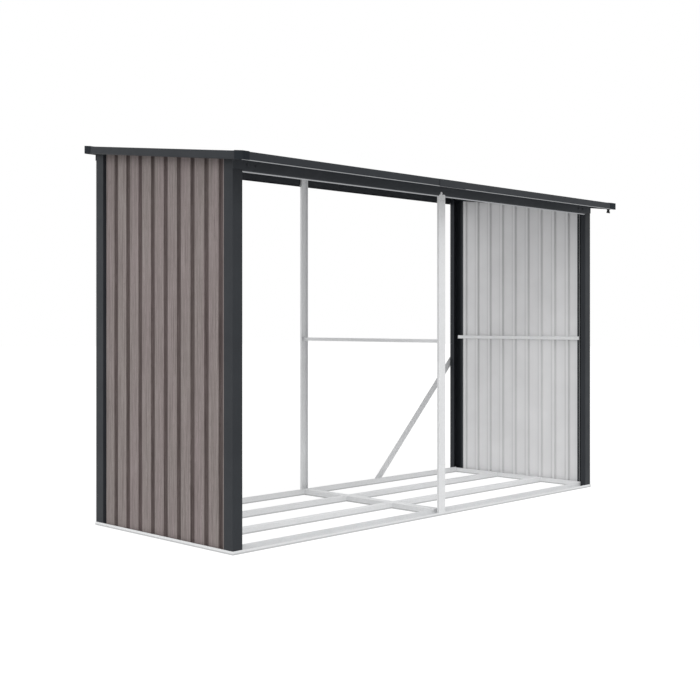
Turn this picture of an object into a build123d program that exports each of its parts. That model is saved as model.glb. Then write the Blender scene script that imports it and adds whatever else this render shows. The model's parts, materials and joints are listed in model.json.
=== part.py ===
# Log store: an open steel frame with two clad ends, a floor of steel rails and a lean-to roof.
# Millimetres. X runs along the length, Y from the open front to the back, Z up.
# The origin is on the ground, under the middle of the roof.
from build123d import *
import math
import os

# Ground plan, measured over the floor frame
base_length = 2365.0
base_depth = 885.0

# How far the roof trims stand out past the floor frame
side_overhang = 48.5
front_overhang = 112.5
rear_overhang = 1.5

# Heights of the top of the roof trims
front_height = 1440.0
rear_height = 1564.4

# Steel thicknesses: rolled profiles, and corrugated sheet; folds have this radius inside
steel = 1.5
sheet = 1.0
bend_radius = 0.5
clearance = 0.5

# Floor frame: a track all round with a low outer lip, and plain channels between
edge_rail_width = 35.0
edge_rail_lip = 14.0
rear_rail_height = 30.0
floor_rail_height = 26.0
floor_rail_width = 30.0
floor_rail_front_share = 0.334
floor_rail_rear_share = 0.655
middle_rail_width = 42.0

# Corner posts: two legs, then a return and a flange that the wall sheet lies on
post_front_leg = 46.0
post_side_leg = 52.0
post_return = 14.0
post_flange = 15.0

# Middle posts, front and back, with the same channel
middle_post_width = 42.0
middle_post_depth = 12.0

# Corrugated sheet
groove_pitch = 83.7
groove_mouth = 26.0
groove_floor = 12.0
groove_depth = 8.0
lower_lap_gap = 1.0
upper_lap_gap = 1.5
first_wall_groove = 84.3
wide_sheet_groove_count = 6
roof_sheet_count = 3

# Rails at half height
half_height = 758.0
half_rail_height = 18.0
half_rail_depth = 10.0
half_rail_end = 45.0
half_rail_tab = 12.0
tie_rail_height = 15.0
tie_rail_width = 14.0

# Beams under the roof, and the sloping rails over the clad ends
front_beam_height = 58.5
rear_beam_height = 53.5
beam_flange = 25.0
beam_lip = 7.0
top_rail_height = 28.0
top_rail_flange = 22.0

# Braces at the back, at 45 degrees
brace_width = 33.0
brace_fold = 12.0
brace_foot = 690.0
brace_end_gap = 4.0

# Roof trims, their joint at the front, and the corner caps
trim_height = 31.0
trim_flange = 25.0
trim_lip = 4.5
joiner_start = -155.0
joiner_end = 18.5
cap_thickness = 1.5
cap_short_wing = 30.0
cap_middle_wing = 38.0
cap_long_wing = 45.0
cap_skirt = 30.0

# The small clip that hangs under the front trim, near its right end
clip_offset = 6.0
clip_top_width = 44.0
clip_neck_width = 20.0
clip_foot_width = 33.0
clip_drop = 20.0
clip_neck_drop = 4.0
clip_overlap = 12.0

# Places worked out from the sizes above
depth_over_trims = front_overhang + base_depth + rear_overhang
trim_front = -depth_over_trims / 2
trim_rear = depth_over_trims / 2
trim_side = base_length / 2 + side_overhang
base_front = trim_front + front_overhang
base_rear = base_front + base_depth
base_half_length = base_length / 2
inset = steel + clearance
front = base_front + inset
rear = base_rear - inset
half_length = base_half_length - inset
depth = rear - front
centre_y = (front + rear) / 2
floor_rail_places = {-1: base_front + floor_rail_front_share * base_depth,
                     1: base_front + floor_rail_rear_share * base_depth}
tallest = max(front_height, rear_height)
slope = (rear_height - front_height) / depth_over_trims
tilt_stretch = math.sqrt(1 + slope ** 2)
trim_skin = steel * tilt_stretch
roof_sheet_drop = trim_skin
beam_drop = roof_sheet_drop + sheet + groove_depth
post_drop = beam_drop + trim_skin + clearance
ridge_inset = post_return + groove_depth


# Height of the top of the roof trims at one place from front to back
def roof_top(y):
    return front_height + (y - trim_front) * slope


# Outline of a folded strip: the path is one surface, the thickness goes to its right hand
def folded(path, thickness):
    steps = [(b[0] - a[0], b[1] - a[1]) for a, b in zip(path, path[1:])]
    normals = [(dy / math.hypot(dx, dy), -dx / math.hypot(dx, dy)) for dx, dy in steps]
    inner = []
    for i, point in enumerate(path):
        before = normals[max(i - 1, 0)]
        after = normals[min(i, len(normals) - 1)]
        share = thickness / (1 + before[0] * after[0] + before[1] * after[1])
        inner.append((point[0] + share * (before[0] + after[0]), point[1] + share * (before[1] + after[1])))
    return list(path) + inner[::-1]


# Which corners of an outline stand out (1) and which ones lie in a fold (-1); the square ends of a strip are 0
def fold_corners(outline):
    count = len(outline)
    sides = [(outline[(i + 1) % count][0] - outline[i][0], outline[(i + 1) % count][1] - outline[i][1])
             for i in range(count)]
    turns = [sides[i - 1][0] * sides[i][1] - sides[i - 1][1] * sides[i][0] for i in range(count)]
    area = sum(outline[i][0] * sides[i][1] - outline[i][1] * sides[i][0] for i in range(count))
    at_end = [i in (0, count // 2 - 1, count // 2, count - 1) for i in range(count)]
    return [0 if at_end[i] else (1 if turns[i] * area > 0 else -1) for i in range(count)]


# A face on its outline; a strip of the given thickness has its folds rounded
def profile(outline, place, thickness):
    corners = [Vector(*place(a, b)) for a, b in outline]
    face = make_face(Polyline(*corners, close=True)).face()
    if thickness:
        kinds = fold_corners(outline)
        for kind, radius in ((-1, bend_radius), (1, bend_radius + thickness)):
            wanted = [corner for corner, own in zip(corners, kinds) if own == kind]
            chosen = [v for v in face.vertices() if any((Vector(*v) - c).length < 0.001 for c in wanted)]
            if chosen:
                face = face.fillet_2d(radius, chosen)
    return face


# A solid from an outline in Y and Z, running along X
def along_x(outline, x_start, x_end, thickness=None):
    face = profile(outline, lambda y, z: (x_start, y, z), thickness)
    return extrude(face, amount=x_end - x_start, dir=(1, 0, 0))


# A solid from an outline in X and Z, running along Y
def along_y(outline, y_start, y_end, thickness=None):
    face = profile(outline, lambda x, z: (x, y_start, z), thickness)
    return extrude(face, amount=y_end - y_start, dir=(0, 1, 0))


# A solid from an outline in X and Y, standing up
def upright(outline, z_start, z_end, thickness=None):
    face = profile(outline, lambda x, y: (x, y, z_start), thickness)
    return extrude(face, amount=z_end - z_start, dir=(0, 0, 1))


# A solid from an outline in X and the drop below the roof's top, running up the slope with plumb ends
def along_slope(outline, y_start, y_end, thickness=None):
    face = profile(outline, lambda x, drop: (x, y_start, roof_top(y_start) - drop), thickness)
    return extrude(face, amount=(y_end - y_start) * tilt_stretch, dir=(0, 1, slope))


# Cut a standing piece off at a drop below the roof's top
def cut_to_roof(piece, drop):
    above = [(trim_front, roof_top(trim_front) - drop), (trim_rear, roof_top(trim_rear) - drop),
             (trim_rear, tallest), (trim_front, tallest)]
    return piece - along_x(above, -trim_side, trim_side)


# Path over a corrugated sheet's groove side, from one end to the other, grooves going to the positive side
def corrugated(start, end, grooves, level, seam_start=None, seam_end=None):
    path = []
    mouth, floor = groove_mouth / 2, groove_floor / 2
    if seam_start is None:
        path.append((start, level))
    else:
        lifted = level + groove_depth - sheet
        path += [(seam_start - floor + upper_lap_gap, lifted), (seam_start + floor, lifted)]
        path.append((seam_start + mouth, level))
    for c in grooves:
        path += [(c - mouth, level), (c - floor, level + groove_depth)]
        path += [(c + floor, level + groove_depth), (c + mouth, level)]
    if seam_end is None:
        path.append((end, level))
    else:
        path += [(seam_end - mouth, level), (seam_end - floor, level + groove_depth)]
        path.append((seam_end + floor - lower_lap_gap, level + groove_depth))
    return path


# Floor frame edge rail: a track that posts and sheets stand in, mitred at the corners
def edge_rail_outline(height):
    path = [(edge_rail_width, height), (edge_rail_width, 0), (0, 0), (0, edge_rail_lip)]
    return folded(path, steel)


def long_edge_rail(end):
    outer = base_front if end < 0 else base_rear
    height = floor_rail_height if end < 0 else rear_rail_height
    outline = [(outer - end * inward, z) for inward, z in edge_rail_outline(height)]
    short = base_half_length - edge_rail_width
    plan = [(-base_half_length, outer), (base_half_length, outer),
            (short, outer - end * edge_rail_width), (-short, outer - end * edge_rail_width)]
    return along_x(outline, -base_half_length, base_half_length, steel) & upright(plan, 0, height)


def side_edge_rail(side):
    outer = side * base_half_length
    inner = outer - side * edge_rail_width
    outline = [(outer - side * inward, z) for inward, z in edge_rail_outline(floor_rail_height)]
    plan = [(outer, base_front), (outer, base_rear),
            (inner, base_rear - edge_rail_width), (inner, base_front + edge_rail_width)]
    return along_y(outline, base_front, base_rear, steel) & upright(plan, 0, floor_rail_height)


# A channel standing on its two edges, as an outline across its run
def floor_channel(centre, width):
    low, high = centre - width / 2, centre + width / 2
    return folded([(low, 0), (low, floor_rail_height), (high, floor_rail_height), (high, 0)], steel)


def middle_floor_rail():
    return along_y(floor_channel(0, middle_rail_width), base_front + edge_rail_width,
                   base_rear - edge_rail_width, steel)


def floor_rail(side, row):
    outline = floor_channel(floor_rail_places[row], floor_rail_width)
    ends = sorted([side * (base_half_length - edge_rail_width), side * middle_rail_width / 2])
    return along_x(outline, ends[0], ends[1], steel)


# Posts
def corner_post(side, end):
    path = [(post_front_leg, 0), (0, 0), (0, post_side_leg), (post_return, post_side_leg),
            (post_return, post_side_leg + post_flange)]
    outer = front if end < 0 else rear
    plan = [(side * (half_length - u), outer - end * v) for u, v in folded(path, steel)]
    return cut_to_roof(upright(plan, steel, tallest, steel), post_drop)


def middle_post(end):
    w = middle_post_width / 2
    outer = front if end < 0 else rear
    path = [(-w, middle_post_depth), (-w, 0), (w, 0), (w, middle_post_depth)]
    outline = folded(path[::-1], steel)
    plan = [(u, outer - end * v) for u, v in outline]
    return cut_to_roof(upright(plan, steel, tallest, steel), post_drop)


# Clad ends: each wall is two corrugated sheets that lap in one groove; the right wall is the left one turned round
def wall_sheets(side):
    first_edge = post_side_leg + clearance
    last_edge = depth - first_edge
    count = int((last_edge - groove_mouth / 2 - first_wall_groove) // groove_pitch) + 1
    grooves = [first_wall_groove + i * groove_pitch for i in range(count)]
    seam = grooves[wide_sheet_groove_count]
    wide = corrugated(first_edge, None, grooves[:wide_sheet_groove_count], post_return, seam_end=seam)
    narrow = corrugated(None, last_edge, grooves[wide_sheet_groove_count + 1:], post_return, seam_start=seam)
    sheets = []
    for path in (wide, narrow):
        outline = folded(path, sheet)
        plan = [(side * (half_length - u), centre_y + side * (depth / 2 - v)) for v, u in outline]
        sheets.append(cut_to_roof(upright(plan, steel, tallest, sheet), post_drop))
    return sheets


# Rail at half height on the inside of a clad end, with a tab at each end down to the post's flange
def wall_half_rail(side):
    face = ridge_inset + half_rail_depth
    low, high = half_height - half_rail_height / 2, half_height + half_rail_height / 2
    channel = folded([(ridge_inset, high), (face, high), (face, low), (ridge_inset, low)], steel)
    outline = [(side * (half_length - u), z) for u, z in channel]
    rail = along_y(outline, front + half_rail_end, rear - half_rail_end, steel)
    flange_face = post_return + steel
    for end in (-1, 1):
        outer = front if end < 0 else rear
        start = outer - end * (post_side_leg + clearance)
        ys = sorted([start, start - end * half_rail_tab])
        tab = [(flange_face, low), (flange_face, high), (ridge_inset + steel, high), (ridge_inset + steel, low)]
        rail += along_y([(side * (half_length - u), z) for u, z in tab], ys[0], ys[1])
    return rail


# Tie between the two middle posts, from web to web
def centre_tie_rail():
    w = tie_rail_width / 2
    low, high = half_height - tie_rail_height / 2, half_height + tie_rail_height / 2
    outline = folded([(-w, low), (-w, high), (w, high), (w, low)], steel)
    return along_y(outline, front + steel, rear - steel, steel)


# Brace across a lower corner of the open back, at 45 degrees: an angle with its fold along the upper edge
def rear_brace(side):
    face = rear - steel
    half_run = brace_width / math.sqrt(2)
    end_height = steel + brace_foot - brace_end_gap

    def strip(upper, lower):
        corners = [(brace_foot + upper, steel), (brace_foot + lower, steel),
                   (brace_end_gap, end_height + lower), (brace_end_gap, end_height + upper)]
        return [(side * (half_length - u), z) for u, z in corners]

    web = along_y(strip(half_run, -half_run), face - steel, face)
    return web + along_y(strip(half_run, half_run - steel * math.sqrt(2)), face - brace_fold, face - steel)


# Beams along the front and the back, in halves that meet on the middle posts
def beam(side, end):
    outer = front - steel if end < 0 else rear + steel
    top = roof_top(outer) - beam_drop
    bottom = top - (front_beam_height if end < 0 else rear_beam_height)
    flange_y = outer - end * beam_flange
    flange_z = roof_top(flange_y) - beam_drop
    face_bottom = bottom + beam_lip + 2 * steel
    faces = [(outer, face_bottom), (outer, top), (flange_y, flange_z)]
    lip = [(outer - end * beam_lip, bottom), (outer, bottom + beam_lip), (outer, face_bottom)]
    if end > 0:
        faces, lip = faces[::-1], lip[::-1]
    ends = sorted([0, side * (half_length + steel)])
    piece = along_x(folded(faces, steel), ends[0], ends[1], steel)
    lip_ends = sorted([side * (middle_post_width / 2 + clearance),
                       side * (half_length - post_front_leg - clearance)])
    return piece + along_x(folded(lip, steel), lip_ends[0], lip_ends[1], steel)


# Sloping rail at the top of a clad end, inside the sheets
def top_rail(side):
    inner = ridge_inset + top_rail_flange
    path = [(ridge_inset, beam_drop + top_rail_height), (ridge_inset, beam_drop), (inner, beam_drop)]
    outline = [(side * (half_length - u), drop) for u, drop in folded(path[::-1], steel)]
    gap = beam_flange - steel + clearance
    return along_slope(outline, front + gap, rear - gap, steel)


# Roof: corrugated sheets side by side, flats up, lapped in a groove
def roof_sheets():
    left = -(trim_side - steel - clearance)
    span = -2 * left
    count = int((span - groove_mouth) // groove_pitch)
    first = -(count - 1) * groove_pitch / 2
    grooves = [first + i * groove_pitch for i in range(count)]
    seams = [round(count * k / roof_sheet_count) for k in range(1, roof_sheet_count)]
    bounds = [-1] + seams + [count]
    level = roof_sheet_drop + sheet
    end_gap = steel + bend_radius + clearance
    sheets = []
    for a, b in zip(bounds, bounds[1:]):
        path = corrugated(left, -left, grooves[a + 1:b], level,
                          seam_start=grooves[a] if a >= 0 else None,
                          seam_end=grooves[b] if b < count else None)
        sheets.append(along_slope(folded(path, sheet), trim_front + end_gap, trim_rear - end_gap, sheet))
    return sheets


# Roof trims: a face, a flange over the sheets and, but for the back, a small lip turned in along the bottom
def long_trim(end, x_start, x_end):
    outer = trim_front if end < 0 else trim_rear
    top = roof_top(outer)
    flange_y = outer - end * trim_flange
    path = [(outer, top), (flange_y, roof_top(flange_y))]
    if end < 0:
        path = [(outer + trim_lip, top - trim_height), (outer, top - trim_height + trim_lip)] + path
    else:
        path = path[::-1] + [(outer, top - trim_height)]
    return along_x(folded(path, steel), x_start, x_end, steel)


def side_trim(side):
    path = [(trim_side - trim_lip, trim_height), (trim_side, trim_height - trim_lip), (trim_side, 0),
            (trim_side - trim_flange, 0)]
    outline = [(side * x, drop) for x, drop in folded(path, trim_skin)]
    gap = trim_flange + clearance
    return along_slope(outline, trim_front + gap, trim_rear - gap, trim_skin)


# Plate over the joint of the two front trims
def front_trim_joiner():
    top = roof_top(trim_front)
    outline = [(trim_front, top), (trim_front, top - trim_height), (trim_front - steel, top - trim_height),
               (trim_front - steel, top)]
    return along_x(outline, joiner_start, joiner_end)


# Cap over one corner of the roof: a top with a skirt on its two outer edges, in two hands
def corner_cap(side, end):
    if side == end:
        wing_x, wing_y = cap_short_wing, cap_long_wing
    else:
        wing_x, wing_y = cap_long_wing, cap_middle_wing
    outer = trim_front if end < 0 else trim_rear
    out_x = trim_side + cap_thickness
    in_x = trim_side - wing_x
    out_y = outer + end * cap_thickness
    in_y = outer - end * wing_y
    skin = cap_thickness * tilt_stretch
    ys = sorted([out_y, in_y])
    xs = sorted([side * out_x, side * in_x])
    top = along_slope([(xs[0], -skin), (xs[1], -skin), (xs[1], 0), (xs[0], 0)], ys[0], ys[1])
    wall_x = sorted([side * trim_side, side * out_x])
    side_skirt = along_slope([(wall_x[0], 0), (wall_x[1], 0), (wall_x[1], cap_skirt), (wall_x[0], cap_skirt)],
                             ys[0], ys[1])
    wall_y = sorted([outer, out_y])
    end_skirt = along_slope([(xs[0], 0), (xs[1], 0), (xs[1], cap_skirt), (xs[0], cap_skirt)],
                            wall_y[0], wall_y[1])
    return top + side_skirt + end_skirt


# Small waisted clip hooked on the back of the front trim
def front_trim_clip():
    centre = base_half_length - clip_offset
    bottom = roof_top(trim_front) - trim_height
    z_top = bottom + trim_lip + steel + clip_overlap
    z_neck = bottom - clip_neck_drop
    outline = [(-clip_top_width / 2, z_top), (clip_top_width / 2, z_top), (clip_top_width / 2, bottom),
               (clip_neck_width / 2, z_neck), (clip_foot_width / 2, bottom - clip_drop),
               (-clip_foot_width / 2, bottom - clip_drop), (-clip_neck_width / 2, z_neck),
               (-clip_top_width / 2, bottom)]
    back = trim_front + trim_lip + steel + clearance
    plate = along_y([(centre + x, z) for x, z in outline], back, back + steel)
    hook = [(trim_front + steel, z_top - steel), (trim_front + steel, z_top), (back, z_top), (back, z_top - steel)]
    return plate + along_x(hook, centre - clip_neck_width / 2, centre + clip_neck_width / 2)


pieces = {
    "base_front_rail": long_edge_rail(-1),
    "base_rear_rail": long_edge_rail(1),
    "base_left_rail": side_edge_rail(-1),
    "base_right_rail": side_edge_rail(1),
    "base_middle_rail": middle_floor_rail(),
    "front_middle_post": middle_post(-1),
    "rear_middle_post": middle_post(1),
    "centre_tie_rail": centre_tie_rail(),
    "front_trim_joiner": front_trim_joiner(),
    "front_trim_clip": front_trim_clip(),
}
for side, side_name in ((-1, "left"), (1, "right")):
    for row, row_name in ((-1, "front"), (1, "rear")):
        pieces[f"floor_rail_{side_name}_{row_name}"] = floor_rail(side, row)
        pieces[f"{row_name}_{side_name}_post"] = corner_post(side, row)
        pieces[f"{row_name}_beam_{side_name}"] = beam(side, row)
        pieces[f"roof_cap_{row_name}_{side_name}"] = corner_cap(side, row)
        trim_ends = sorted([0, side * trim_side])
        pieces[f"{row_name}_trim_{side_name}"] = long_trim(row, trim_ends[0], trim_ends[1])
    pieces[f"{side_name}_wall_wide_sheet"], pieces[f"{side_name}_wall_narrow_sheet"] = wall_sheets(side)
    pieces[f"{side_name}_wall_rail"] = wall_half_rail(side)
    pieces[f"{side_name}_top_rail"] = top_rail(side)
    pieces[f"{side_name}_trim"] = side_trim(side)
    pieces[f"{side_name}_rear_brace"] = rear_brace(side)
for name, piece in zip(("left", "middle", "right"), roof_sheets()):
    pieces[f"roof_sheet_{name}"] = piece

os.makedirs("parts", exist_ok=True)
for name, piece in pieces.items():
    solids = piece.solids()
    export_step(solids[0] if len(solids) == 1 else Compound(children=list(solids)), f"parts/{name}.step")
print(len(pieces), "pieces written")
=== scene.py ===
# Log store: finishes, corrugated sheets, screws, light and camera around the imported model. Metres.
import json
import math
import bmesh
import bpy
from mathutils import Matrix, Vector


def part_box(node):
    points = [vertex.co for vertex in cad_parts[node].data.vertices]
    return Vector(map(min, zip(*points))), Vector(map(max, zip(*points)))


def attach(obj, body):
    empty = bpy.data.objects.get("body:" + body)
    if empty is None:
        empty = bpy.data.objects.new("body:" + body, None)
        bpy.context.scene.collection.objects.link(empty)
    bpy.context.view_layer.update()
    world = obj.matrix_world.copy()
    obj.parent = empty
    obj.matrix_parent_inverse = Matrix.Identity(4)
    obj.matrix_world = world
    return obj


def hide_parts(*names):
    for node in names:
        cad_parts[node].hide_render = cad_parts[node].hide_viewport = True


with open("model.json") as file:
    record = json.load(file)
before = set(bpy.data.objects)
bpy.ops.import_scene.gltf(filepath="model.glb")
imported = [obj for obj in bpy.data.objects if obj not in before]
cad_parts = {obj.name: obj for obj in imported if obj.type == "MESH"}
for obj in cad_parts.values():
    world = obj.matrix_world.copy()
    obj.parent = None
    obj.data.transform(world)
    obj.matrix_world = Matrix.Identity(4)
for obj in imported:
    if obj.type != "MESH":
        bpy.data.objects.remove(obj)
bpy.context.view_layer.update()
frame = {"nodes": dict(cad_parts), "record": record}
nodes = frame["nodes"]


# Shader helpers: a node, a link, and a value set on a socket by name
def newMaterial(name):
    material = bpy.data.materials.new(name)
    material.use_nodes = True
    material.node_tree.nodes.clear()
    tree = material.node_tree
    output = tree.nodes.new("ShaderNodeOutputMaterial")
    surface = tree.nodes.new("ShaderNodeBsdfPrincipled")
    tree.links.new(surface.outputs["BSDF"], output.inputs["Surface"])
    return material, tree, surface


def addNode(tree, kind, inputs=None, **settings):
    node = tree.nodes.new(kind)
    for key, value in settings.items():
        setattr(node, key, value)
    for key, value in (inputs or {}).items():
        if isinstance(value, bpy.types.NodeSocket):
            tree.links.new(value, node.inputs[key])
        else:
            node.inputs[key].default_value = value
    return node


def addMath(tree, operation, a, b=0.0):
    return addNode(tree, "ShaderNodeMath", {0: a, 1: b}, operation=operation).outputs[0]


# A copy of the object's own coordinates, stretched along each axis
def stretched(tree, scale, source=None):
    if source is None:
        source = addNode(tree, "ShaderNodeTexCoord").outputs["Object"]
    return addNode(tree, "ShaderNodeMapping", {"Vector": source, "Scale": scale}).outputs["Vector"]


def noise(tree, vector, scale, detail=3.0, roughness=0.5, distortion=0.0):
    inputs = {"Vector": vector, "Scale": scale, "Detail": detail, "Roughness": roughness,
              "Distortion": distortion}
    return addNode(tree, "ShaderNodeTexNoise", inputs).outputs["Fac"]


def ramp(tree, value, stops):
    node = addNode(tree, "ShaderNodeValToRGB", {"Fac": value})
    elements = node.color_ramp.elements
    while len(elements) < len(stops):
        elements.new(0.5)
    for element, (place, colour) in zip(elements, stops):
        element.position = place
        element.color = (*colour, 1.0)
    return node.outputs["Color"]


def mixColours(tree, factor, a, b, mode="MIX"):
    node = addNode(tree, "ShaderNodeMix", data_type="RGBA", blend_type=mode)
    for index, value in ((0, factor), (6, a), (7, b)):
        if isinstance(value, bpy.types.NodeSocket):
            tree.links.new(value, node.inputs[index])
        elif isinstance(value, tuple):
            node.inputs[index].default_value = (*value, 1.0)
        else:
            node.inputs[index].default_value = value
    return node.outputs[2]


def addBump(tree, surface, height, strength, distance):
    inputs = {"Height": height, "Strength": strength, "Distance": distance}
    tree.links.new(addNode(tree, "ShaderNodeBump", inputs).outputs["Normal"], surface.inputs["Normal"])


# Where a slow shift in tone starts and ends, on the noise that drives it
toneShift = {"from": 0.35, "to": 0.65}


# A colour as it is seen on a screen, 0 to 255, turned to the linear values that shaders use
def seen(red, green, blue):
    def linear(value):
        value /= 255
        return value / 12.92 if value <= 0.04045 else ((value + 0.055) / 1.055) ** 2.4
    return linear(red), linear(green), linear(blue)


# Anthracite coating: satin, with a faint orange peel and slow shifts in tone. The front trims and beams have a
# pale line painted along their lower edge as a painted highlight, where the photograph shows a thin bright one
coatingLook = {"dark": seen(42, 45, 49), "light": seen(47, 50, 54), "cloudScale": 3.5, "roughness": 0.5,
               "roughScale": 24.0, "smoother": 0.05, "rougher": 0.06, "gloss": 0.19, "peelScale": 900.0,
               "peelStrength": 0.25, "peelDepth": 0.00005}
trimLipHighlight = {"node": "front_trim_left", "height": 0.0025, "pale": seen(190, 192, 195)}
# The beams' coating is the anthracite painted lighter: painted light on the beams in the shade of the roof's
# overhang
litBeamLook = {**coatingLook, "dark": seen(54, 57, 61), "light": seen(59, 62, 66)}
beamLipHighlight = {"node": "front_beam_left", "height": 0.0038, "pale": seen(205, 207, 210)}


def coatedSteel(name, look, lip=None):
    material, tree, surface = newMaterial(name)
    place = stretched(tree, (1, 1, 1))
    cloud = noise(tree, place, look["cloudScale"], detail=4)
    colour = ramp(tree, cloud, [(toneShift["from"], look["dark"]), (toneShift["to"], look["light"])])
    # A pale line painted along the lower lip: a painted highlight
    if lip:
        height = addNode(tree, "ShaderNodeSeparateXYZ", {0: place}).outputs[2]
        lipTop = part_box(lip["node"])[0].z + lip["height"]
        colour = mixColours(tree, addMath(tree, "LESS_THAN", height, lipTop), colour, lip["pale"])
    tree.links.new(colour, surface.inputs["Base Color"])
    patches = noise(tree, place, look["roughScale"], detail=5)
    rough = addNode(tree, "ShaderNodeMapRange", {"Value": patches, "From Min": 0.3, "From Max": 0.7,
                    "To Min": look["roughness"] - look["smoother"],
                    "To Max": look["roughness"] + look["rougher"]})
    tree.links.new(rough.outputs["Result"], surface.inputs["Roughness"])
    surface.inputs["Specular IOR Level"].default_value = look["gloss"]
    peel = noise(tree, place, look["peelScale"], detail=2)
    addBump(tree, surface, peel, look["peelStrength"], look["peelDepth"])
    return material


# Galvanised steel: pale zinc with a fine spangle and a soft sheen. The lowest millimetres are painted darker as
# painted shade along the floor, as the lower edges of the floor rails look in the photograph
zincLook = {"dark": seen(227, 228, 229), "light": seen(235, 236, 237), "metallic": 0.12, "roughness": 0.52,
            "smoother": 0.08, "rougher": 0.1, "spangleScale": 190.0, "spangleShare": 0.35, "cloudScale": 7.0,
            "cloudShare": 0.65, "bumpStrength": 0.2, "bumpDepth": 0.0002, "shadedFootHeight": 0.006, "foot": 0.72}


def galvanisedSteel(name, look):
    material, tree, surface = newMaterial(name)
    place = stretched(tree, (1, 1, 1))
    cells = addNode(tree, "ShaderNodeTexVoronoi", {"Vector": place, "Scale": look["spangleScale"]})
    flake = addNode(tree, "ShaderNodeSeparateColor", {"Color": cells.outputs["Color"]}).outputs[0]
    cloud = noise(tree, place, look["cloudScale"], detail=5, roughness=0.6)
    blend = addMath(tree, "ADD", addMath(tree, "MULTIPLY", flake, look["spangleShare"]),
                    addMath(tree, "MULTIPLY", cloud, look["cloudShare"]))
    colour = ramp(tree, blend, [(0.25, look["dark"]), (0.75, look["light"])])
    height = addNode(tree, "ShaderNodeSeparateXYZ", {0: place}).outputs[2]
    # Painted shade: the zinc is darker in its lowest millimetres, next to the floor
    atFoot = addMath(tree, "LESS_THAN", height, look["shadedFootHeight"])
    colour = mixColours(tree, atFoot, colour, tuple(share * look["foot"] for share in look["dark"]))
    tree.links.new(colour, surface.inputs["Base Color"])
    rough = addNode(tree, "ShaderNodeMapRange", {"Value": flake, "To Min": look["roughness"] - look["smoother"],
                    "To Max": look["roughness"] + look["rougher"]})
    tree.links.new(rough.outputs["Result"], surface.inputs["Roughness"])
    surface.inputs["Metallic"].default_value = look["metallic"]
    addBump(tree, surface, cloud, look["bumpStrength"], look["bumpDepth"])
    return material


# Printed grey timber on the outside of the clad ends: streaks of grain, slow shifts in tint, and painted shade
# in the grooves
printLook = {"grey": seen(145, 137, 134), "red": seen(147, 135, 135), "dark": seen(107, 97, 95),
             "pale": seen(167, 157, 155), "figure": seen(121, 111, 109), "groove": (0.41, 0.38, 0.375),
             "roughness": 0.55, "gloss": 0.2, "tintStretch": (9, 0.9, 1), "streakStretch": (260, 3.2, 1),
             "figureStretch": (55, 2.4, 1), "fineStretch": (900, 14, 1), "archStep": 0.06, "archLine": 0.022,
             "grooveEdge": 0.295, "flatEdge": 0.32, "bumpStrength": 0.3, "bumpDepth": 0.0001}


def woodPrint(name, look):
    material, tree, surface = newMaterial(name)
    place = addNode(tree, "ShaderNodeAttribute", attribute_name="sheetPlace").outputs["Vector"]
    fromGroove = addNode(tree, "ShaderNodeAttribute", attribute_name="fromGroove").outputs["Fac"]
    tint = noise(tree, stretched(tree, look["tintStretch"], place), 1.0, detail=3)
    colour = ramp(tree, tint, [(0.4, look["grey"]), (0.6, look["red"])])
    streaks = noise(tree, stretched(tree, look["streakStretch"], place), 1.0, detail=5, roughness=0.65,
                    distortion=0.4)
    colour = mixColours(tree, ramp(tree, streaks, [(0.36, (1, 1, 1)), (0.56, (0, 0, 0))]), colour, look["dark"])
    figure = noise(tree, stretched(tree, look["figureStretch"], place), 1.0, detail=4, roughness=0.6,
                   distortion=2.2)
    bands = addMath(tree, "PINGPONG", figure, look["archStep"])
    arches = ramp(tree, bands, [(0.0, (1, 1, 1)), (look["archLine"], (0, 0, 0))])
    colour = mixColours(tree, arches, colour, look["figure"])
    fine = noise(tree, stretched(tree, look["fineStretch"], place), 1.0, detail=3, roughness=0.6)
    hairs = ramp(tree, fine, [(0.5, (0, 0, 0)), (0.75, (0.7, 0.7, 0.7))])
    colour = mixColours(tree, hairs, colour, look["pale"])
    # Painted shade in the grooves: the print's colour is darkened there
    shaded = ramp(tree, fromGroove, [(0.0, look["groove"]), (look["grooveEdge"], look["groove"]),
                                     (look["flatEdge"], (1, 1, 1))])
    colour = mixColours(tree, 1.0, colour, shaded, mode="MULTIPLY")
    tree.links.new(colour, surface.inputs["Base Color"])
    surface.inputs["Roughness"].default_value = look["roughness"]
    surface.inputs["Specular IOR Level"].default_value = look["gloss"]
    addBump(tree, surface, streaks, look["bumpStrength"], look["bumpDepth"])
    return material


# Pale grey back coat on the inner side of every sheet, with painted shade on the folds' flanks and at their
# feet
backCoatLook = {"dark": seen(230, 230, 231), "light": seen(237, 237, 238), "flankShade": 0.72, "foot": 0.88,
                "roughness": 0.5, "gloss": 0.3, "cloudScale": 5.0, "grainScale": 700.0, "grainStrength": 0.2,
                "grainDepth": 0.00005, "creases": (0.13, 0.17, 0.29, 0.33, 0.5)}


def backCoat(name, look):
    material, tree, surface = newMaterial(name)
    place = stretched(tree, (1, 1, 1))
    cloud = noise(tree, place, look["cloudScale"], detail=4)
    colour = ramp(tree, cloud, [(toneShift["from"], look["dark"]), (toneShift["to"], look["light"])])
    fromGroove = addNode(tree, "ShaderNodeAttribute", attribute_name="fromGroove").outputs["Fac"]
    # Painted shade: darker on the folds' flanks, and less dark at their feet
    flankShade, foot, plain = (look["flankShade"],) * 3, (look["foot"],) * 3, (1, 1, 1)
    foldShade = ramp(tree, fromGroove, list(zip(look["creases"], (plain, flankShade, flankShade, foot, plain))))
    colour = mixColours(tree, 1.0, colour, foldShade, mode="MULTIPLY")
    tree.links.new(colour, surface.inputs["Base Color"])
    surface.inputs["Roughness"].default_value = look["roughness"]
    surface.inputs["Specular IOR Level"].default_value = look["gloss"]
    grain = noise(tree, place, look["grainScale"], detail=2)
    addBump(tree, surface, grain, look["grainStrength"], look["grainDepth"])
    return material


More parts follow.
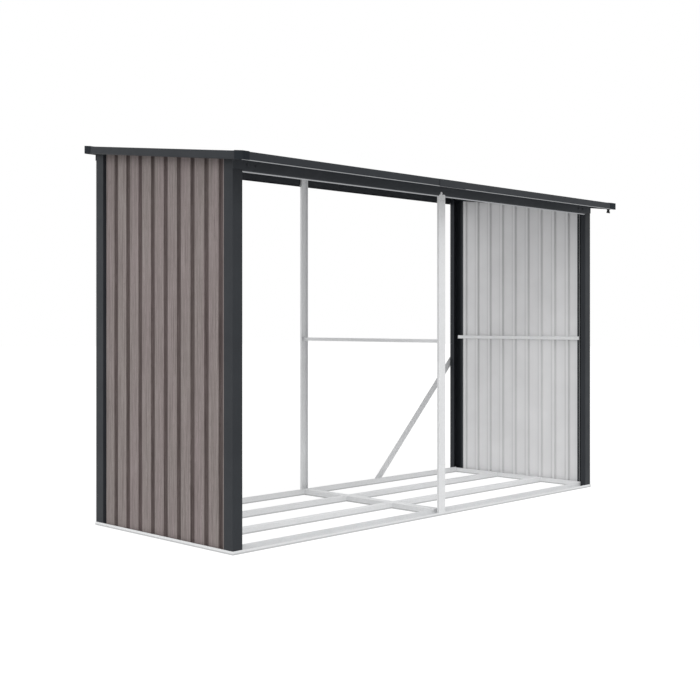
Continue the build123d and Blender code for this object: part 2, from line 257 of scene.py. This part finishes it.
# Moulded caps and the clip: matt plastic with a fine grain
capLook = {"dark": seen(30, 35, 40), "light": seen(34, 39, 44), "roughness": 0.62, "gloss": 0.1,
           "cloudScale": 20.0, "grainScale": 1400.0, "grainStrength": 0.35, "grainDepth": 0.0001}
clipLook = {**capLook, "dark": seen(10, 11, 12), "light": seen(15, 16, 17)}


def mouldedPlastic(name, look):
    material, tree, surface = newMaterial(name)
    place = stretched(tree, (1, 1, 1))
    grain = noise(tree, place, look["grainScale"], detail=3)
    cloud = noise(tree, place, look["cloudScale"], detail=3)
    colour = ramp(tree, cloud, [(toneShift["from"], look["dark"]), (toneShift["to"], look["light"])])
    tree.links.new(colour, surface.inputs["Base Color"])
    surface.inputs["Roughness"].default_value = look["roughness"]
    surface.inputs["Specular IOR Level"].default_value = look["gloss"]
    addBump(tree, surface, grain, look["grainStrength"], look["grainDepth"])
    return material


anthracite = coatedSteel("anthraciteCoating", coatingLook)
trimCoating = coatedSteel("trimCoating", coatingLook, trimLipHighlight)
beamCoating = coatedSteel("beamCoating", litBeamLook, beamLipHighlight)
zinc = galvanisedSteel("galvanisedSteel", zincLook)
timberPrint = woodPrint("timberPrint", printLook)
paleBack = backCoat("paleBackCoat", backCoatLook)
capPlastic = mouldedPlastic("capPlastic", capLook)
clipPlastic = mouldedPlastic("clipPlastic", clipLook)
print("materials made")


# Every node that keeps its own shape takes its finish from its slot in the record, or has its own here
finishes = {"galvanised_steel": zinc, "anthracite_steel": anthracite, "roof_sheet_steel": anthracite,
            "wood_print_steel": timberPrint, "corner_cap_plastic": capPlastic}
ownFinishes = {"front_trim_left": trimCoating, "front_trim_right": trimCoating, "front_beam_left": beamCoating,
               "front_beam_right": beamCoating, "front_trim_clip": clipPlastic}
slots = {part["node"]: part["material_slot"] for part in frame["record"]["subparts"]}
for nodeName, node in nodes.items():
    node.data.materials.clear()
    node.data.materials.append(ownFinishes.get(nodeName, finishes[slots[nodeName]]))
print("finishes given to", len(nodes), "nodes")


# Geometry Nodes: a group with named inputs, filled by a function
def newTree(name, inputs):
    tree = bpy.data.node_groups.new(name, "GeometryNodeTree")
    tree.interface.new_socket("Geometry", in_out="INPUT", socket_type="NodeSocketGeometry")
    for socketName, kind in inputs:
        tree.interface.new_socket(socketName, in_out="INPUT", socket_type=kind)
    tree.interface.new_socket("Geometry", in_out="OUTPUT", socket_type="NodeSocketGeometry")
    return tree, tree.nodes.new("NodeGroupInput"), tree.nodes.new("NodeGroupOutput")


# Runs a tree on a mesh with its named inputs, and returns the result as a plain mesh object
def grown(name, tree, values, mesh=None):
    carrier = bpy.data.objects.new(name + "Carrier", mesh or bpy.data.meshes.new(name + "Carrier"))
    bpy.context.scene.collection.objects.link(carrier)
    modifier = carrier.modifiers.new("grow", "NODES")
    modifier.node_group = tree
    for item in tree.interface.items_tree:
        if item.item_type == "SOCKET" and item.in_out == "INPUT" and item.name in values:
            modifier[item.identifier] = values[item.name]
    bpy.context.view_layer.update()
    graph = bpy.context.evaluated_depsgraph_get()
    shown = carrier.evaluated_get(graph)
    mesh = bpy.data.meshes.new_from_object(shown, preserve_all_data_layers=True, depsgraph=graph)
    mesh.name = name
    carrier.modifiers.clear()
    bpy.data.objects.remove(carrier)
    piece = bpy.data.objects.new(name, mesh)
    bpy.context.scene.collection.objects.link(piece)
    return piece


# A corrugated sheet: a strip whose offset follows the distance to the nearest groove
sheetShape = {"pitch": 0.0837, "mouth": 0.026, "floor": 0.012, "thickness": 0.001, "wallFirstGroove": 0.0318,
              "column": 0.001}


def corrugatedTree():
    inputs = [("Start", "NodeSocketFloat"), ("End", "NodeSocketFloat"), ("Columns", "NodeSocketInt"),
              ("First Groove", "NodeSocketFloat"), ("Pitch", "NodeSocketFloat"), ("Mouth", "NodeSocketFloat"),
              ("Floor", "NodeSocketFloat"), ("Depth", "NodeSocketFloat"), ("Lap Start", "NodeSocketFloat"),
              ("Lap End", "NodeSocketFloat"), ("Lap Depth", "NodeSocketFloat"), ("Corner", "NodeSocketVector"),
              ("Across", "NodeSocketVector"), ("Inward", "NodeSocketVector"), ("Along", "NodeSocketVector"),
              ("Length", "NodeSocketFloat"), ("Growth", "NodeSocketFloat"), ("Print Shift", "NodeSocketFloat"),
              ("Flip", "NodeSocketBool")]
    tree, given, result = newTree("corrugatedSheet", inputs)

    def worked(operation, a, b=0.0):
        return addMath(tree, operation, a, b)

    def scaled(vector, factor):
        return addNode(tree, "ShaderNodeVectorMath", {0: vector, "Scale": factor}, operation="SCALE").outputs[0]

    def added(a, b):
        return addNode(tree, "ShaderNodeVectorMath", {0: a, 1: b}, operation="ADD").outputs[0]

    take = given.outputs
    grid = addNode(tree, "GeometryNodeMeshGrid", {"Size X": 1.0, "Size Y": 1.0, "Vertices X": take["Columns"],
                   "Vertices Y": 2})
    where = addNode(tree, "ShaderNodeSeparateXYZ", {0: addNode(tree, "GeometryNodeInputPosition").outputs[0]})
    acrossShare = worked("ADD", where.outputs[0], 0.5)
    alongShare = worked("ADD", where.outputs[1], 0.5)
    width = worked("SUBTRACT", take["End"], take["Start"])
    across = worked("ADD", take["Start"], worked("MULTIPLY", acrossShare, width))
    half = worked("MULTIPLY", take["Pitch"], 0.5)
    fromFirst = worked("ADD", worked("SUBTRACT", across, take["First Groove"]), half)
    inPitch = worked("FLOORED_MODULO", fromFirst, take["Pitch"])
    distance = worked("ABSOLUTE", worked("SUBTRACT", inPitch, half))
    mouth, floor = worked("MULTIPLY", take["Mouth"], 0.5), worked("MULTIPLY", take["Floor"], 0.5)
    share = addNode(tree, "ShaderNodeMapRange", {"Value": distance, "From Min": floor, "From Max": mouth,
                    "To Min": 1.0, "To Max": 0.0}).outputs["Result"]
    offset = worked("MULTIPLY", share, take["Depth"])
    inLap = worked("MULTIPLY", worked("GREATER_THAN", across, take["Lap Start"]),
                   worked("LESS_THAN", across, take["Lap End"]))
    cut = worked("MULTIPLY", inLap, take["Lap Depth"])
    offset = worked("MINIMUM", offset, worked("SUBTRACT", take["Depth"], cut))
    length = worked("ADD", take["Length"], worked("MULTIPLY", take["Growth"], across))
    along = worked("MULTIPLY", alongShare, length)
    place = added(added(take["Corner"], scaled(take["Across"], across)),
                  added(scaled(take["Inward"], offset), scaled(take["Along"], along)))
    printPlace = addNode(tree, "ShaderNodeCombineXYZ", {0: worked("ADD", across, take["Print Shift"]), 1: along,
                         2: take["Print Shift"]}).outputs[0]
    stored = grid.outputs["Mesh"]
    nearness = worked("DIVIDE", distance, half)
    kept = (("sheetPlace", "FLOAT_VECTOR", printPlace), ("fromGroove", "FLOAT", nearness))
    for attribute, kind, value in kept:
        keep = addNode(tree, "GeometryNodeStoreNamedAttribute", {"Geometry": stored, "Name": attribute},
                       data_type=kind, domain="POINT")
        socket = [s for s in keep.inputs if s.name == "Value" and s.enabled][0]
        tree.links.new(value, socket)
        stored = keep.outputs[0]
    moved = addNode(tree, "GeometryNodeSetPosition", {"Geometry": stored, "Position": place}).outputs[0]
    flipped = addNode(tree, "GeometryNodeFlipFaces", {"Mesh": moved, "Selection": take["Flip"]}).outputs[0]
    real = addNode(tree, "GeometryNodeRealizeInstances", {"Geometry": flipped}).outputs[0]
    named = addNode(tree, "GeometryNodeSetMaterial", {"Geometry": real}).outputs[0]
    tree.links.new(named, result.inputs[0])
    return tree


sheetTree = corrugatedTree()


def corrugatedSheet(node, face, values):
    start, end = values["Start"], values["End"]
    values = {"Columns": int(round((end - start) / sheetShape["column"])) + 1, "Pitch": sheetShape["pitch"],
              "Mouth": sheetShape["mouth"], "Floor": sheetShape["floor"], "Lap Start": 0.0, "Lap End": 0.0,
              "Lap Depth": 0.0, **values}
    setter = [n for n in sheetTree.nodes if n.bl_idname == "GeometryNodeSetMaterial"][0]
    setter.inputs["Material"].default_value = face
    piece = grown(node + "_corrugated", sheetTree, values)
    piece.data.materials.clear()
    for material in (face, paleBack, zinc):
        piece.data.materials.append(material)
    piece.data.polygons.foreach_set("material_index", [0] * len(piece.data.polygons))
    wall = piece.modifiers.new("thickness", "SOLIDIFY")
    wall.thickness = sheetShape["thickness"]
    wall.offset = -1
    wall.use_even_offset = True
    wall.material_offset = 1
    wall.material_offset_rim = 2
    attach(piece, "root")
    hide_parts(node)
    return piece


# The clad ends: two sheets a side, measured from the wide sheet's outer edge, tops cut to the roof's slope
roofLow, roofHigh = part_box("roof_sheet_middle")
wallLow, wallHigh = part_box("left_wall_wide_sheet")
grooveDepth = wallHigh.x - wallLow.x - sheetShape["thickness"]
slope = (roofHigh.z - roofLow.z - grooveDepth - sheetShape["thickness"]) / (roofHigh.y - roofLow.y)
lap = sheetShape["pitch"] / 2
printShifts = {"left": (0.0, 1.7), "right": (3.1, 4.9)}  # so that no two sheets have the same streaks
for side, name in ((-1, "left"), (1, "right")):
    wideShift, narrowShift = printShifts[name]
    wideLow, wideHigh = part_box(name + "_wall_wide_sheet")
    narrowLow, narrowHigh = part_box(name + "_wall_narrow_sheet")
    edge = wideLow.y if side < 0 else wideHigh.y
    outerFace = side * max(abs(wideLow.x), abs(wideHigh.x))
    topAtEdge = wideHigh.z - slope * (wideHigh.y - edge)
    wideEnd = wideHigh.y - wideLow.y
    narrowStart = abs((narrowLow.y if side < 0 else narrowHigh.y) - edge)
    narrowEnd = abs((narrowHigh.y if side < 0 else narrowLow.y) - edge)
    shared = {"First Groove": sheetShape["wallFirstGroove"], "Depth": grooveDepth,
              "Corner": (outerFace, edge, wideLow.z), "Across": (0, -side, 0), "Inward": (-side, 0, 0),
              "Along": (0, 0, 1), "Length": topAtEdge - wideLow.z, "Growth": -side * slope, "Flip": True}
    corrugatedSheet(name + "_wall_wide_sheet", timberPrint,
                    {**shared, "Start": 0.0, "End": wideEnd, "Print Shift": wideShift})
    corrugatedSheet(name + "_wall_narrow_sheet", timberPrint,
                    {**shared, "Start": narrowStart, "End": narrowEnd, "Print Shift": narrowShift,
                     "Lap Start": 0.0, "Lap End": narrowStart + lap, "Lap Depth": sheetShape["thickness"]})
print("clad ends made")

# Corner posts: as packed, and each with the lip that turns in along the free edge of its front or back leg
postShape = {"frontLeg": 0.046, "sideLeg": 0.052, "return": 0.014, "flange": 0.015, "lip": 0.028,
             "steel": 0.0015, "bend": 0.0005, "bendSteps": 4}


# The outline of a folded strip with rounded bends, from the line along the middle of its steel
def bentOutline(middle, thickness, bend, steps):
    points = [Vector(point) for point in middle]
    reach = bend + thickness / 2
    line = [(points[0], (points[1] - points[0]).normalized())]
    for before, corner, after in zip(points, points[1:], points[2:]):
        into, out = (corner - before).normalized(), (after - corner).normalized()
        centre = corner - into * reach + out * reach
        inward = (out - into * out.dot(into)).normalized()
        for step in range(steps + 1):
            turned = into.lerp(out, step / steps).normalized()
            quarter = step / steps * math.pi / 2
            point = centre + into * reach * math.sin(quarter) - inward * reach * math.cos(quarter)
            line.append((point, turned))
    line.append((points[-1], (points[-1] - points[-2]).normalized()))
    sides = []
    for hand in (1, -1):
        sides.append([point + Vector((-way.y, way.x)) * hand * thickness / 2 for point, way in line])
    return sides[0] + sides[1][::-1]


# A closed mesh between two rings of points with the same count
def closedPrism(name, lowRing, highRing):
    count = len(lowRing)
    sides = [(i, (i + 1) % count, count + (i + 1) % count, count + i) for i in range(count)]
    mesh = bpy.data.meshes.new(name)
    mesh.from_pydata([*lowRing, *highRing], [], [*sides, tuple(range(count)), tuple(range(count, 2 * count))])
    form = bmesh.new()
    form.from_mesh(mesh)
    bmesh.ops.recalc_face_normals(form, faces=form.faces)
    form.to_mesh(mesh)
    form.free()
    piece = bpy.data.objects.new(name, mesh)
    bpy.context.scene.collection.objects.link(piece)
    return piece


def standsFor(piece, node, material):
    piece.data.materials.append(material)
    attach(piece, "root")
    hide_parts(node)


halfSteel = postShape["steel"] / 2
freeEdge, backEdge = postShape["frontLeg"] - halfSteel, postShape["sideLeg"] - halfSteel
flangeLine = postShape["return"] + halfSteel
postOutline = bentOutline([(freeEdge, postShape["lip"]), (freeEdge, halfSteel), (halfSteel, halfSteel),
                           (halfSteel, backEdge), (flangeLine, backEdge),
                           (flangeLine, postShape["sideLeg"] + postShape["flange"])],
                          postShape["steel"], postShape["bend"], postShape["bendSteps"])
for side, sideName in ((-1, "left"), (1, "right")):
    for end, endName in ((-1, "front"), (1, "rear")):
        node = endName + "_" + sideName + "_post"
        low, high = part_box(node)
        outerX, outerY = (low.x if side < 0 else high.x), (low.y if end < 0 else high.y)
        plan = [(outerX - side * point.x, outerY - end * point.y) for point in postOutline]
        lowRing = [(x, y, low.z) for x, y in plan]
        highRing = [(x, y, high.z - slope * (high.y - y)) for x, y in plan]
        standsFor(closedPrism(node + "_with_lip", lowRing, highRing), node, anthracite)
print("corner posts made")

# Braces: a flat bar each, from inside the back rail's lip up to the outside of the post's back leg
braceShape = {"reach": 0.6649, "width": 0.037, "thickness": 0.0015, "endGap": 0.004, "footPlane": 0.4946,
              "topPlane": 0.4963}
for side, sideName in ((-1, "left"), (1, "right")):
    node = sideName + "_rear_brace"
    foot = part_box(node)[0].z
    postLow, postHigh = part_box("rear_" + sideName + "_post")
    outerX = postLow.x if side < 0 else postHigh.x
    halfWidth = braceShape["width"] / math.sqrt(2)  # along the rail and the post, which it meets at 45 degrees
    rings = []
    for back in (0, braceShape["thickness"]):
        ring = []
        for shift, atFoot in ((-halfWidth, True), (halfWidth, True), (halfWidth, False), (-halfWidth, False)):
            run = braceShape["reach"] + shift
            if atFoot:
                inset, height, plane = run - foot, foot, braceShape["footPlane"]
            else:
                inset, height = braceShape["endGap"], run - braceShape["endGap"]
                plane = braceShape["topPlane"]
            ring.append((outerX - side * inset, plane + back, height))
        rings.append(ring)
    standsFor(closedPrism(node + "_bar", *rings), node, zinc)
print("braces made")

# The roof: sheets side by side with their flats up, grooves at whole pitches from the middle
runLength = roofHigh.y - roofLow.y
topAtFront = roofHigh.z - slope * runLength
lapMargin = 0.001  # so that a lap takes in its sheet's first row of points
for name in ("left", "middle", "right"):
    low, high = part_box("roof_sheet_" + name)
    lapped = {} if name == "left" else {"Lap Start": low.x - lapMargin, "Lap End": low.x + lap,
                                        "Lap Depth": sheetShape["thickness"]}
    corrugatedSheet("roof_sheet_" + name, anthracite,
                    {"Start": low.x, "End": high.x, "First Groove": 0.0, "Depth": grooveDepth,
                     "Corner": (0.0, low.y, topAtFront), "Across": (1, 0, 0), "Inward": (0, 0, -1),
                     "Along": (0, 1, slope), "Length": runLength, "Growth": 0.0, "Print Shift": 0.0,
                     "Flip": False, **lapped})
print("roof sheets made")


# Screws: a hexagon head on its washer at every point, all facing the front
screwShape = {"headRadius": 0.0048, "headDepth": 0.0028, "headSides": 6, "washerRadius": 0.0068,
              "washerDepth": 0.0009, "washerSides": 20}


def screwTree(material):
    inputs = [("Head Radius", "NodeSocketFloat"), ("Head Depth", "NodeSocketFloat"),
              ("Washer Radius", "NodeSocketFloat"), ("Washer Depth", "NodeSocketFloat"),
              ("Washer Sides", "NodeSocketInt")]
    tree, given, result = newTree("screwHeads", inputs)
    take = given.outputs

    def disc(sides, radius, depth, base):
        solid = addNode(tree, "GeometryNodeMeshCylinder", {"Vertices": sides, "Radius": radius, "Depth": depth})
        middle = addMath(tree, "ADD", base, addMath(tree, "MULTIPLY", depth, 0.5))
        lift = addNode(tree, "ShaderNodeCombineXYZ", {2: middle}).outputs[0]
        moved = {"Geometry": solid.outputs["Mesh"], "Translation": lift}
        return addNode(tree, "GeometryNodeTransform", moved).outputs[0]

    washer = disc(take["Washer Sides"], take["Washer Radius"], take["Washer Depth"], 0.0)
    head = disc(screwShape["headSides"], take["Head Radius"], take["Head Depth"], take["Washer Depth"])
    both = tree.nodes.new("GeometryNodeJoinGeometry")
    tree.links.new(washer, both.inputs[0])
    tree.links.new(head, both.inputs[0])
    points = addNode(tree, "GeometryNodeMeshToPoints", {"Mesh": take["Geometry"]}).outputs[0]
    placed = addNode(tree, "GeometryNodeInstanceOnPoints", {"Points": points, "Instance": both.outputs[0],
                     "Rotation": (math.pi / 2, 0.0, 0.0)}).outputs[0]
    real = addNode(tree, "GeometryNodeRealizeInstances", {"Geometry": placed}).outputs[0]
    named = addNode(tree, "GeometryNodeSetMaterial", {"Geometry": real, "Material": material}).outputs[0]
    tree.links.new(named, result.inputs[0])
    return tree


# The one over the front middle post stands for a faint mark in the photograph. The others are guesses, and
# nothing in the photograph backs the two at the left end of the beam
screwPlaces = {"beamOverPosts": (1.070, 1.111), "beamHeight": 1.412, "middleHeight": 1.3998,
               "middleFromSeam": 0.009, "postTop": 1.366, "postTopApart": 0.018}


def screwsAt(name, places, material):
    mesh = bpy.data.meshes.new(name + "Points")
    mesh.from_pydata(places, [], [])
    values = {"Head Radius": screwShape["headRadius"], "Head Depth": screwShape["headDepth"],
              "Washer Radius": screwShape["washerRadius"], "Washer Depth": screwShape["washerDepth"],
              "Washer Sides": screwShape["washerSides"]}
    piece = grown(name, screwTree(material), values, mesh)
    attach(piece, "root")


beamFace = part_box("front_beam_left")[0].y
coatedPlaces = [(side * across, beamFace, screwPlaces["beamHeight"])
                for side in (-1, 1) for across in screwPlaces["beamOverPosts"]]
postLow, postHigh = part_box("front_middle_post")
zincPlaces = [(-screwPlaces["middleFromSeam"], beamFace, screwPlaces["middleHeight"])]
for side in (-1, 1):
    across = (postLow.x + postHigh.x + side * screwPlaces["postTopApart"]) / 2
    zincPlaces.append((across, postLow.y, screwPlaces["postTop"]))
screwsAt("coated_screws", coatedPlaces, beamCoating)
screwsAt("zinc_screws", zincPlaces, zinc)
print("screws made:", len(coatedPlaces) + len(zincPlaces))


# The photograph's camera: level, at the height of its horizon, looking along a line in plan
cameraLook = {"place": (-3.7891, -3.5153, 0.84), "ahead": (0.7163, 0.6978), "lens": 57.9, "shift": -0.0397}
camera = bpy.data.objects.new("camera", bpy.data.cameras.new("camera"))
bpy.context.scene.collection.objects.link(camera)
camera.location = cameraLook["place"]
camera.rotation_euler = (math.pi / 2, 0, -math.atan2(*cameraLook["ahead"]))
camera.data.lens = cameraLook["lens"]
camera.data.shift_y = cameraLook["shift"]
camera.data.clip_start, camera.data.clip_end = 0.05, 100
bpy.context.scene.camera = camera

# Studio: a pale floor that keeps a faint shadow and lights evenly from below, soft lamps, and white where the
# camera sees past the object
studioLook = {"floorLight": 0.6, "floorGlow": 0.84, "floorShade": 0.25, "worldLight": 0.62, "key": 1.4,
              "keyAngle": 40, "keyFrom": (-0.3, -1.0, 1.6), "fill": 1.0, "fillAngle": 60,
              "fillFrom": (-1.0, -0.1, 0.25), "floorReach": 30}
floorMesh = bpy.data.meshes.new("floor")
reach = studioLook["floorReach"]
corners = [(-reach, -reach, 0), (reach, -reach, 0), (reach, reach, 0), (-reach, reach, 0)]
floorMesh.from_pydata(corners, [], [(0, 1, 2, 3)])
floor = bpy.data.objects.new("floor", floorMesh)
bpy.context.scene.collection.objects.link(floor)


# 1 for rays that see a surface straight, mirrored or through glass, and 0 for rays that carry light
def seeingRays(tree):
    rays = addNode(tree, "ShaderNodeLightPath").outputs
    mirrored = addMath(tree, "MAXIMUM", rays["Is Glossy Ray"], rays["Is Transmission Ray"])
    return addMath(tree, "MAXIMUM", rays["Is Camera Ray"], mirrored)


floorMaterial = bpy.data.materials.new("paleFloor")
floorMaterial.use_nodes = True
tree = floorMaterial.node_tree
tree.nodes.clear()
pale = addNode(tree, "ShaderNodeEmission", {"Color": (1, 1, 1, 1), "Strength": studioLook["floorLight"]})
faint = addNode(tree, "ShaderNodeBsdfDiffuse", {"Color": (*(studioLook["floorShade"],) * 3, 1)})
white = addNode(tree, "ShaderNodeEmission", {"Color": (1, 1, 1, 1), "Strength": studioLook["floorGlow"]})
shownFloor = addNode(tree, "ShaderNodeAddShader", {0: faint.outputs[0], 1: white.outputs[0]})
mixed = addNode(tree, "ShaderNodeMixShader",
                {0: seeingRays(tree), 1: pale.outputs[0], 2: shownFloor.outputs[0]})
output = tree.nodes.new("ShaderNodeOutputMaterial")
tree.links.new(mixed.outputs[0], output.inputs["Surface"])
floor.data.materials.append(floorMaterial)

world = bpy.data.worlds.new("studio")
bpy.context.scene.world = world
world.use_nodes = True
tree = world.node_tree
tree.nodes.clear()
strength = addNode(tree, "ShaderNodeMapRange", {"Value": seeingRays(tree), "To Min": studioLook["worldLight"],
                   "To Max": 1.0})
glow = addNode(tree, "ShaderNodeBackground", {"Color": (1, 1, 1, 1), "Strength": strength.outputs["Result"]})
output = tree.nodes.new("ShaderNodeOutputWorld")
tree.links.new(glow.outputs[0], output.inputs["Surface"])


def softSun(name, strength, angle, fromPlace):
    lamp = bpy.data.objects.new(name, bpy.data.lights.new(name, "SUN"))
    lamp.data.energy = strength
    lamp.data.angle = math.radians(angle)
    lamp.rotation_euler = Vector(fromPlace).to_track_quat("Z", "Y").to_euler()
    bpy.context.scene.collection.objects.link(lamp)


softSun("keyLamp", studioLook["key"], studioLook["keyAngle"], studioLook["keyFrom"])
softSun("fillLamp", studioLook["fill"], studioLook["fillAngle"], studioLook["fillFrom"])
bpy.context.scene.view_settings.view_transform = "Standard"
print("studio set")
